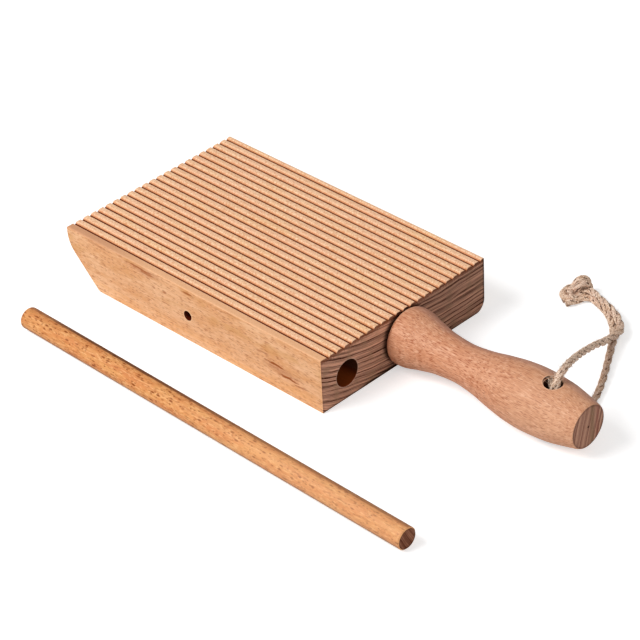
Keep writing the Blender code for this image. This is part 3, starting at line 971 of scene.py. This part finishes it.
def handle_mesh():
    """The handle with its tenon, its rounded shoulder, the eased rim of its free end and the cord hole."""
    side = handle_side()
    length = handle_high.x - SHOULDER_X
    profile = [(-SOCKET_DEPTH, 0), (-SOCKET_DEPTH, TENON_RADIUS), (0, TENON_RADIUS), (0, FACE_RADIUS)]
    first_radius = side[0][1]
    for step in range(1, 9):
        angle = math.pi / 2 * step / 9
        out = FACE_RADIUS + (first_radius - FACE_RADIUS) * math.sin(angle)
        profile.append((SHOULDER_ROUND * (1 - math.cos(angle)), out))
    profile += side
    end_radius, ease = HANDLE_STATIONS[-1][1] * MM, 0.6 * MM
    for step in range(5):
        angle = math.pi / 2 * step / 4
        profile.append((length - ease * (1 - math.sin(angle)), end_radius - ease * (1 - math.cos(angle))))
    profile.append((length, 0))
    handle = lathe("handle", profile, (SHOULDER_X, 0.0, HANDLE_AXIS_HEIGHT), ALONG)

    surface = float(np.interp(CORD_HOLE_X - SHOULDER_X, *np.array(side).T))
    upper, lower = CORD_HOLE_RADIUS + UPPER_MOUTH_CHAMFER, CORD_HOLE_RADIUS + LOWER_MOUTH_CHAMFER
    upper_edge = math.sqrt(surface**2 - upper**2)
    lower_edge = -math.sqrt(surface**2 - lower**2)
    reach = surface + 5 * MM
    hole = lathe("cord_hole", [
        (-reach, 0),
        (-reach, lower),
        (lower_edge, lower),
        (lower_edge + LOWER_MOUTH_CHAMFER, CORD_HOLE_RADIUS),
        (upper_edge - UPPER_MOUTH_CHAMFER, CORD_HOLE_RADIUS),
        (upper_edge, upper),
        (reach, upper),
        (reach, 0),
    ], (CORD_HOLE_X, 0.0, HANDLE_AXIS_HEIGHT), UP, 64)
    return dressed(drilled(handle, [hole]))


def dowel_mesh():
    """The dowel, its far end worn round and its near end with a small chamfer."""
    along = math.sqrt(DOWEL_LENGTH**2 - DOWEL_DRIFT**2)
    ahead = np.array((along, DOWEL_DRIFT, 0)) / DOWEL_LENGTH
    middle = (dowel_low + dowel_high) / 2
    start = np.array((middle.x, middle.y, DOWEL_RADIUS)) - ahead * DOWEL_LENGTH / 2
    worn, chamfer = 0.8 * MM, 0.45 * MM
    profile = [(0, 0)]
    for step in range(7):
        angle = math.pi / 2 * step / 6
        profile.append((worn * (1 - math.cos(angle)), DOWEL_RADIUS - worn * (1 - math.sin(angle))))
    profile += [(DOWEL_LENGTH * share / 30, DOWEL_RADIUS) for share in range(1, 30)]
    profile += [(DOWEL_LENGTH - chamfer, DOWEL_RADIUS), (DOWEL_LENGTH, DOWEL_RADIUS - chamfer)]
    profile.append((DOWEL_LENGTH, 0))
    return dressed(lathe("dowel", profile, start, ahead))


def smooth_route(points):
    """A dense smooth curve through the points, with as many columns as they have."""
    points = np.array(points)
    padded = np.vstack((2 * points[0] - points[1], points, 2 * points[-1] - points[-2]))
    dense = []
    for a, b, c, d in zip(padded, padded[1:], padded[2:], padded[3:]):
        for t in np.linspace(0, 1, CURVE_STEPS, endpoint=False):
            dense.append(0.5 * (2 * b + (c - a) * t + (2 * a - 5 * b + 4 * c - d) * t**2
                                + (3 * b - a - 3 * c + d) * t**3))
    dense.append(points[-1])
    return np.array(dense)


def travelled(places):
    """The distance along the places, at each of them."""
    runs = np.linalg.norm(np.diff(places, axis=0), axis=1)
    return np.concatenate(([0], np.cumsum(runs)))


def evenly(dense, spacing):
    """Points at equal distances along the dense curve."""
    reached = travelled(dense[:, :3])
    count = max(2, round(reached[-1] / spacing) + 1)
    wanted = np.linspace(0, reached[-1], count)
    return np.stack([np.interp(wanted, reached, column) for column in dense.T], axis=1)


def eased(rows, passes):
    """The rows, each drawn towards its neighbours in each pass. The ends are kept."""
    rows = rows.copy()
    for _ in range(passes):
        rows[1:-1] = 0.25 * rows[:-2] + 0.5 * rows[1:-1] + 0.25 * rows[2:]
    return rows


def cord_route(points, spacing=RING_SPACING, passes=20):
    """Places in metres, with the section's size, along a rope whose points are in millimetres."""
    points = np.array([(*point, 1.0)[:4] for point in points])
    points[:, :3] *= MM
    points[:, 0] += CORD_HOLE_X
    return evenly(eased(evenly(smooth_route(points), spacing), passes), spacing)


def frames_along(places):
    """The direction of travel and two square directions at each place, with the least turning."""
    ahead = np.gradient(places, axis=0)
    ahead /= np.linalg.norm(ahead, axis=1)[:, None]
    side = np.cross(ahead[0], (0.3, 0.5, 0.81))
    side /= np.linalg.norm(side)
    sides = [side]
    for before, now in zip(ahead, ahead[1:]):
        axis = np.cross(before, now)
        sine, cosine = np.linalg.norm(axis), float(before @ now)
        if sine > 1e-9:
            turn = Matrix.Rotation(math.atan2(sine, cosine), 3, Vector(axis / sine))
            side = np.array(turn @ Vector(side))
        side = side - now * (side @ now)
        side = side / np.linalg.norm(side)
        sides.append(side)
    sides = np.array(sides)
    return ahead, sides, np.cross(ahead, sides)


def streaks(random, rings, columns):
    """Smooth ridges along the columns that drift slowly sideways, from 0 to 1: raised fibres."""
    field = eased(random.normal(size=(rings, columns)), 5)
    drifted = np.stack([np.roll(row, -(index // 3)) for index, row in enumerate(field)])
    low, high = np.percentile(drifted, (2, 98))
    return np.clip((drifted - low) / (high - low), 0, 1)


def rope_mesh(name, routes, seed):
    """Closed skins of three-ply cord along the routes, with the attributes that jute() reads."""
    random = np.random.default_rng(seed)
    vertices, faces, gaps, fibre_heights = [], [], [], []
    angle = np.arange(CORD_SIDES) * 2 * math.pi / CORD_SIDES
    off_crown = (angle + math.pi / 3) % (2 * math.pi / 3) - math.pi / 3
    outline = PLY_OFFSET * np.cos(off_crown)
    outline = outline + np.sqrt(PLY_RADIUS**2 - (PLY_OFFSET * np.sin(off_crown)) ** 2)
    gap = (outline.max() - outline) / (outline.max() - outline.min())
    for route in routes:
        places, sizes = route[:, :3], route[:, 3]
        _, side, up = frames_along(places)
        height = streaks(random, len(route), CORD_SIDES)
        radius = (outline[None] + (height - 0.5) * STREAK_HEIGHT) * sizes[:, None]
        turned = angle[None] + 2 * math.pi * travelled(places)[:, None] / LAY_PITCH + random.uniform(0, 6)
        ring = side[:, None] * np.cos(turned)[..., None] + up[:, None] * np.sin(turned)[..., None]
        first = len(vertices)
        vertices += (places[:, None] + ring * radius[..., None]).reshape(-1, 3).tolist()
        gaps += np.tile(gap, len(route)).tolist()
        fibre_heights += height.ravel().tolist()
        add_tube_faces(faces, first, len(route), CORD_SIDES)
    mesh = smooth_mesh(name, vertices, faces)
    for label, values in (("gap", gaps), ("streak", fibre_heights)):
        mesh.attributes.new(label, "FLOAT", "POINT").data.foreach_set("value", values)
    return mesh


def fibre_mesh(name, routes, seed, kind):
    """Loose fibres of that kind that lean along the routes' skin and stand off it."""
    per_metre, reach, rise, thickness = kind
    random = np.random.default_rng(seed)
    vertices, faces = [], []
    for route in routes:
        places = route[:, :3]
        ahead, side, up = frames_along(places)
        for _ in range(round(travelled(places)[-1] * per_metre)):
            index = int(random.integers(2, len(route) - 2))
            around = random.uniform(0, 2 * math.pi)
            out = side[index] * math.cos(around) + up[index] * math.sin(around)
            round_it = np.cross(ahead[index], out)
            root = places[index] + out * FIBRE_ROOT * route[index, 3]
            lean = ahead[index] * random.uniform(0.5, 1.2) + round_it * random.uniform(-0.2, 1.0)
            lean = lean * random.choice((-1, 1))
            bend = random.normal(size=3) * 0.35
            run = random.uniform(*reach)
            t = np.linspace(0, 1, 6)[:, None]
            path = root + run * (t * (out * rise + lean * 0.7) + t * t * (bend * 0.5 - out * rise * 0.4))
            path[:, 2] = np.maximum(path[:, 2], LEAST_FIBRE_HEIGHT)
            add_thread(vertices, faces, path, thickness)
    return smooth_mesh(name, vertices, faces)


def tuft_mesh(name, seed):
    """The frayed fibres that fill the cord hole's upper mouth and stand up beside the strand."""
    random = np.random.default_rng(seed)
    vertices, faces = [], []
    for _ in range(TUFT_FIBRES):
        around = random.uniform(0, 2 * math.pi)
        away = random.uniform(0.3, 2.2) * MM
        root = np.array(TUFT_FOOT) + (away * math.cos(around), away * math.sin(around), 0)
        upright = np.array((0.12 * math.cos(around) - 0.12, 0.12 * math.sin(around) + 0.3, 0.9))
        bend = random.normal(size=3) * (0.45, 0.45, 0.15)
        run = random.uniform(1.4, 4.6) * MM
        t = np.linspace(0, 1, 6)[:, None]
        add_thread(vertices, faces, root + run * (t * upright + t * t * bend * 0.7), 0.16 * MM)
    return smooth_mesh(name, vertices, faces)


def add_thread(vertices, faces, path, thickness):
    """A closed tapering tube with three sides along the path."""
    sides = 3
    _, side, up = frames_along(path)
    first = len(vertices)
    for index, place in enumerate(path):
        radius = 0.5 * thickness * (1 - 0.7 * index / len(path))
        for corner in range(sides):
            turn = 2 * math.pi * corner / sides
            out = side[index] * math.cos(turn) + up[index] * math.sin(turn)
            vertices.append(tuple(place + radius * out))
    add_tube_faces(faces, first, len(path), sides)


# The object.


def add_wood():
    pieces = (
        ("beech_board", board_mesh(), "board", BOARD_LOOK, "board"),
        ("beech_handle", handle_mesh(), "board", HANDLE_LOOK, "handle"),
        ("beech_dowel", dowel_mesh(), "dowel", DOWEL_LOOK, "dowel"),
    )
    for name, mesh, body, look, node in pieces:
        piece = show(name, mesh, body, beech(name, look))
        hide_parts(node)


def add_fibres(name, material, *details):
    return show(name, fibre_mesh(name, *details), "board", material)


def add_knot(material, fibre):
    """The knot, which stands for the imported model's, and its fibres."""
    ropes = [cord_route(rope, passes=KNOT_PASSES) for rope in KNOT_ROPES]
    knot = show("knot", rope_mesh("knot", ropes, 31), "board", material)
    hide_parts("cord_knot")
    return knot, add_fibres("knot_fibres", fibre, ropes, 32, KNOT_FIBRES)


def add_cord():
    material = jute()
    fibre = loose_fibre("jute_fibre", (124, 88, 64), (250, 228, 208))
    fray = loose_fibre("jute_fray", (166, 134, 110), (254, 234, 212))
    knot, knot_fibres = add_knot(material, fibre)
    tuft = show("hole_tuft", tuft_mesh("hole_tuft", 41), "board", fray)
    mouth = cord_route(UPPER_STRAND)[SLEEVE_RINGS]
    sleeve = add_fibres("mouth_sleeve", fray, [mouth], 42, SLEEVE_FIBRES)
    upper_way_out = (CORD_HOLE_X, -1.0 * MM, 27.5 * MM)
    lower_way_out = (CORD_HOLE_X, -1.5 * MM, 2.5 * MM)
    strands = (
        ("upper", UPPER_STRAND, UPPER_LENGTH, upper_way_out, [knot, knot_fibres, tuft, sleeve]),
        ("lower", LOWER_STRAND, LOWER_LENGTH, lower_way_out, [knot]),
    )
    for seed, (label, points, length, way_out, pieces) in enumerate(strands, start=11):
        route = cord_route(points)
        strand = show(label + "_strand", rope_mesh(label, [route], seed), "board", material)
        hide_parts("cord_%s_strand" % label)
        lying = add_fibres(label + "_lying_fibres", fibre, [route], seed + 10, LYING_FIBRES)
        standing = add_fibres(label + "_standing_fibres", fray, [route], seed + 20, STANDING_FIBRES)


# The stage.


def add_camera():
    azimuth, elevation, roll = CAMERA_AZIMUTH, CAMERA_ELEVATION, CAMERA_ROLL
    flat = math.cos(elevation)
    back = Vector((math.sin(azimuth) * flat, -math.cos(azimuth) * flat, math.sin(elevation)))
    right = Vector((0, 0, 1)).cross(back).normalized()
    up = back.cross(right)
    rolled_right = right * math.cos(roll) + up * math.sin(roll)
    rolled_up = up * math.cos(roll) - right * math.sin(roll)
    data = bpy.data.cameras.new("camera")
    data.sensor_width = SENSOR_WIDTH
    data.lens = CAMERA_LENS
    data.clip_start = 0.05
    data.clip_end = 50.0
    camera = placed("camera", data)
    turn = Matrix((rolled_right, rolled_up, back)).transposed()
    camera.matrix_world = Matrix.Translation(CAMERA_PLACE) @ turn.to_4x4()
    bpy.context.scene.camera = camera


def add_softbox(name, place, size, power):
    """A square soft light that faces the object."""
    data = bpy.data.lights.new(name, "AREA")
    data.shape = "SQUARE"
    data.size = size
    data.energy = power
    light = placed(name, data)
    light.location = place
    light.rotation_euler = (Vector(AIM) - Vector(place)).to_track_quat("-Z", "Y").to_euler()


def add_world():
    """A soft even light. The camera sees it white."""
    w = Wiring("studio", "worlds", "Background")
    paths = w.add("LightPath").outputs
    seen = w.highest([paths["Is Camera Ray"], paths["Is Transmission Ray"]])
    strength = w.add("MapRange", {0: seen, "To Min": WORLD_LIGHT, "To Max": 1.0}).outputs[0]
    w.set("Color", (1, 1, 1, 1))
    w.set("Strength", strength)
    bpy.context.scene.world = w.made


def add_floor():
    """A white floor: a glow that only the camera sees, and that grows with the distance, lifts it to white."""
    half = FLOOR_SIZE / 2
    corners = [(-half, -half, 0), (half, -half, 0), (half, half, 0), (-half, half, 0)]
    mesh = mesh_of("floor", corners, [(0, 1, 2, 3)])
    floor = placed("floor", mesh)
    w = Wiring("floor_white")
    w.set("Base Color", (FLOOR_SHADE, FLOOR_SHADE, FLOOR_SHADE, 1))
    w.set("Roughness", 0.9)
    w.set("Specular IOR Level", 0.0)
    w.set("Emission Color", (1, 1, 1, 1))
    seen = w.add("LightPath").outputs["Is Camera Ray"]
    place = w.add("TexCoord").outputs["Object"]
    away = w.add("VectorMath", {0: place}, operation="LENGTH").outputs["Value"]
    glow = w.scaled(w.ease(away, WHITE_FROM, WHITE_PAST), 1.0 - FLOOR_GLOW, FLOOR_GLOW)
    w.set("Emission Strength", w.product(seen, glow))
    mesh.materials.append(w.made)


def add_stage():
    bpy.context.scene.view_settings.view_transform = "Standard"
    add_camera()
    add_world()
    add_floor()
    add_softbox("key", *KEY_LIGHT)
    add_softbox("fill", *FILL_LIGHT)


add_stage()
add_wood()
add_cord()
